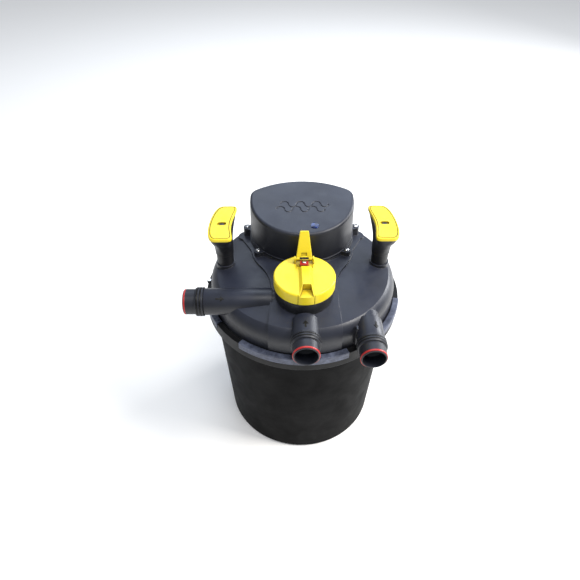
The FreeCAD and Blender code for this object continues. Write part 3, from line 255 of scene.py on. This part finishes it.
MATERIALS = {
    "tank_black": moulded("tank_black", (0.0020, 0.0021, 0.0025), 0.60, wear=0.08, dust_and_shade_amount=0.02,
                          **{"Specular IOR Level": 0.06}),
    # The lighter, bluer tone on this lid's up-facing faces is painted sky light.
    "lid_slate": moulded("lid_slate", (0.0095, 0.0108, 0.0165), 0.40, dust_and_shade_amount=0.05, wear=0.12,
                         painted_sky_tone=(0.0195, 0.0235, 0.0400)),
    "ring_black": moulded("ring_black", (0.0040, 0.0042, 0.0052), 0.50, dust_and_shade_amount=0.05, wear=0.2,
                          **{"Specular IOR Level": 0.22}),
    "pad_grey": scuffed("pad_grey", (0.036, 0.043, 0.072), (0.14, 0.16, 0.23), 0.42),
    "grip_black": moulded("grip_black", (0.0060, 0.0064, 0.0085), 0.44, dust_and_shade_amount=0.05),
    # The lighter, bluer tone on the port tubes' up-facing faces is painted sky light.
    "port_grey": moulded("port_grey", (0.0080, 0.0090, 0.0135), 0.46, radius=0.5, dust_and_shade_amount=0.04, wear=0.2,
                         painted_sky_tone=(0.0125, 0.0150, 0.0255)),
    "core_grey": moulded("core_grey", (0.05, 0.053, 0.06), 0.5),
    "white": moulded("white", (0.7, 0.7, 0.68), 0.5, worn=(0.8, 0.8, 0.8), contrast=0.4),
    # The yellow's dark-brown hollow tone, its wide reach and its dark crease tone are painted shade
    # in its scoop, wells and creases.
    "yellow": moulded("yellow", (0.84, 0.655, 0.014), 0.38, worn=(0.92, 0.80, 0.20), wear=0.3,
                      dust_and_shade_amount=0.85, grain=0.12, contrast=0.35, dust_and_shade_colour=(0.24, 0.135, 0.006),
                      painted_crease_shade=(0.030, 0.018, 0.002), reach=24),
    "red": moulded("red", (0.46, 0.020, 0.018), 0.36, worn=(0.6, 0.1, 0.08), wear=0.3, radius=0.4,
                   contrast=0.5),
    "rubber": moulded("rubber", (0.0022, 0.0022, 0.0024), 0.42, radius=0.4, dust_and_shade_amount=0.02, wear=0.1,
                      **{"Specular IOR Level": 0.3}),
    "foam_black": foam("foam_black", (0.035, 0.035, 0.037), fineness=260),
    "foam_blue": foam("foam_blue", (0.025, 0.13, 0.36), fineness=340),
    "foam_green": foam("foam_green", (0.04, 0.22, 0.08), fineness=440),
    "foam_cream": foam("foam_cream", (0.60, 0.52, 0.36), fineness=560),
    "steel": metal("steel", (0.84, 0.85, 0.87), 0.16),
    "lens": jewel("lens", (0.002, 0.004, 0.022), (0.012, 0.040, 0.20)),
    "quartz": glass("quartz", (0.93, 0.97, 0.98), 1.46, 0.25),
}

for part in SUBPARTS:
    node = NODES[part["node"]]
    node.data.materials.clear()
    node.data.materials.append(MATERIALS[part["material_slot"]].material)


# ---------------------------------------------------------------- added pieces

def new_piece(name, points, faces, body, slot):
    mesh = bpy.data.meshes.new(name)
    mesh.from_pydata([Vector(point) * MM for point in points], [], faces)
    mesh.materials.append(MATERIALS[slot].material)
    piece = bpy.data.objects.new(name, mesh)
    bpy.context.scene.collection.objects.link(piece)
    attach(piece, body)
    return piece


def thicken(piece, height, edge):
    """Give an open patch its thickness, half of it sunk in, and soften its rim."""
    solid = piece.modifiers.new("thick", "SOLIDIFY")
    solid.thickness, solid.offset = height * MM, 0
    bevel = piece.modifiers.new("edge", "BEVEL")
    bevel.width, bevel.segments, bevel.limit_method = edge * MM, 2, "ANGLE"


def foam_disc(part):
    """A filter foam, copied from its part and moved with its body; in the filter the press plate
    squeezes it up against the top grid.
    """
    node = part["node"]
    piece = bpy.data.objects.new(node + "_disc", NODES[node].data.copy())
    bpy.context.scene.collection.objects.link(piece)
    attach(piece, next(name for name, nodes in BODIES.items() if node in nodes))
    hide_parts(node)
    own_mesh(piece)


def mouth_centre(port, way):
    """The centre of a spigot's mouth face, in millimetres."""
    low, high = (Vector(corner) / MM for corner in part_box(port + "_spigot"))
    middle, half = (low + high) / 2, (high - low) / 2
    return middle + way * half.dot(Vector([abs(c) for c in way]))


def outward(along, angle):
    """The way out from a level tube's axis, at an angle from straight up."""
    up = Vector((0, 0, 1))
    return up * math.cos(angle) + along.cross(up) * math.sin(angle)


def port_sleeve(name, mouth, along, length):
    """The thick outer wall of a port tube, from behind its spigot back into the dome."""
    inner, shoulder = TUBE_RADIUS - SLEEVE_WALL, SLEEVE_ROUND * 0.3
    profile = [(inner, 0), (TUBE_RADIUS - SLEEVE_ROUND, 0), (TUBE_RADIUS - shoulder, shoulder),
               (TUBE_RADIUS, SLEEVE_ROUND), (TUBE_RADIUS, length), (inner, length)]
    face = mouth - along * (SPIGOT_LENGTH + SLEEVE_GAP)
    points, faces = [], []
    for turn in range(SLEEVE_SIDES):
        out = outward(along, 2 * math.pi * turn / SLEEVE_SIDES)
        points += [face - along * depth + out * radius for radius, depth in profile]
    count = len(profile)
    for turn in range(SLEEVE_SIDES):
        here, there = turn * count, (turn + 1) % SLEEVE_SIDES * count
        for k in range(count):
            after = (k + 1) % count
            faces.append((here + k, here + after, there + after, there + k))
    piece = new_piece(name, points, faces, "vessel", "lid_slate")
    piece.data.polygons.foreach_set("use_smooth", [True] * len(faces))
    piece.data.set_sharp_from_angle(angle=math.radians(50))


def flow_arrow(name, mouth, along, start, turn, flows_out):
    """A raised arrow wrapped round a port tube, at a turn from straight up."""
    shaft, bend, barb, neck, tip = 1.6, 3.4, 5.4, 8.5, 16.0
    points, rows = [], []
    for across in (-barb, -bend, -shaft, 0, shaft, bend, barb):
        stops = [neck]
        if abs(across) <= shaft:
            stops.insert(0, 0.0)
        if abs(across) < barb:
            stops.append(tip - (tip - neck) * abs(across) / barb)
        out = outward(along, across / TUBE_RADIUS + turn)
        rows.append([])
        for stop in stops:
            reach = start + (stop if flows_out else tip - stop)
            points.append(mouth + along * reach + out * TUBE_RADIUS)
            rows[-1].append(len(points) - 1)
    faces = []
    for first, second in zip(rows, rows[1:]):
        necks = [row[-2] if len(row) > 1 else row[-1] for row in (first, second)]
        faces.append(list(dict.fromkeys((necks[0], necks[1], second[-1], first[-1]))))
        if len(first) == 3 and len(second) == 3:
            faces.append([first[0], second[0], second[1], first[1]])
    if not flows_out:
        faces = [face[::-1] for face in faces]
    thicken(new_piece(name, points, faces, "vessel", "rubber"), ARROW_HEIGHT, ARROW_EDGE)


# in millimetres, but for the count of sides
TUBE_RADIUS, SPIGOT_LENGTH = 25.4, 38
SLEEVE_WALL, SLEEVE_ROUND, SLEEVE_GAP, SLEEVE_SIDES = 3.6, 1.0, 0.2, 96
ARROW_HEIGHT, ARROW_EDGE = 1.4, 0.3

# which way each port points, its sleeve's length, and where its arrow starts and how far it is
# turned from the top of the tube, in radians
PORTS = {
    "left": {"way": (-1, 0, 0), "sleeve": 128, "start": -78, "turn": -0.62, "flows_out": False},
    "front": {"way": (0, -1, 0), "sleeve": 42, "start": -62, "turn": 0.0, "flows_out": False},
    "outlet": {"way": (0, -1, 0), "sleeve": 46, "start": -68, "turn": -0.35, "flows_out": True},
}

foams = [part for part in SUBPARTS if part["material_slot"].startswith("foam_")]
for part in foams:
    foam_disc(part)

for port, shape in PORTS.items():
    way = Vector(shape["way"])
    mouth = mouth_centre(port, way)
    port_sleeve(port + "_port_sleeve", mouth, way, shape["sleeve"])
    flow_arrow(port + "_arrow", mouth, way, shape["start"], shape["turn"], shape["flows_out"])


# ---------------------------------------------------------------- floor, light and camera

def lamp(name, place, target, size, power, colour):
    data = bpy.data.lights.new(name, "AREA")
    data.shape, data.size, data.size_y = "RECTANGLE", size[0], size[1]
    data.energy, data.color = power, colour
    light = bpy.data.objects.new(name, data)
    light.location = place
    light.rotation_euler = (Vector(target) - Vector(place)).to_track_quat("-Z", "Y").to_euler()
    bpy.context.scene.collection.objects.link(light)


def make_stage():
    """A pale floor, an even sky and four soft lamps round the lid."""
    bpy.ops.mesh.primitive_plane_add(size=40, location=(0, 0, 0))
    floor = bpy.context.object
    floor.name = "floor"
    s = Shader("floor", (0.95, 0.95, 0.95), 0.9)
    s.set(s.surface, **{"Base Color": s.mix(s.noise(3, 2), (0.955, 0.945, 0.925), (0.97, 0.96, 0.94)),
                        "Emission Color": (1, 1, 1, 1), "Emission Strength": 0.12})
    floor.data.materials.append(s.material)
    scene = bpy.context.scene
    scene.world = bpy.data.worlds.new("studio")
    scene.world.use_nodes = True
    background = scene.world.node_tree.nodes["Background"]
    background.inputs["Color"].default_value = (0.87, 0.92, 1.0, 1)
    background.inputs["Strength"].default_value = 0.42
    middle = (0, 0, 0.42)
    lamp("sky", (0.1, 2.2, 2.6), middle, (2.3, 2.0), 38, (0.76, 0.86, 1.0))
    lamp("key", (1.7, -0.5, 2.2), middle, (0.7, 0.7), 62, (1.0, 0.97, 0.93))
    lamp("rim", (2.4, 1.3, 1.3), middle, (1.0, 1.4), 66, (0.95, 0.97, 1.0))
    lamp("top", (0.2, -0.9, 3.2), middle, (1.2, 1.2), 32, (1.0, 0.98, 0.96))
    scene.view_settings.view_transform = "Standard"


def make_camera():
    """A camera in front of the filter, looking down on its lid."""
    data = bpy.data.cameras.new("camera")
    data.lens, data.sensor_width = 30.86, 36
    data.clip_start, data.clip_end = 0.02, 60
    camera = bpy.data.objects.new("camera", data)
    place, target = Vector((-0.0335, -0.7695, 1.0550)), Vector((-0.0254, 0.0, 0.3399))
    camera.location = place
    turn = (target - place).to_track_quat("-Z", "Y")
    camera.rotation_mode = "QUATERNION"
    camera.rotation_quaternion = turn
    bpy.context.scene.collection.objects.link(camera)
    bpy.context.scene.camera = camera


make_stage()
make_camera()
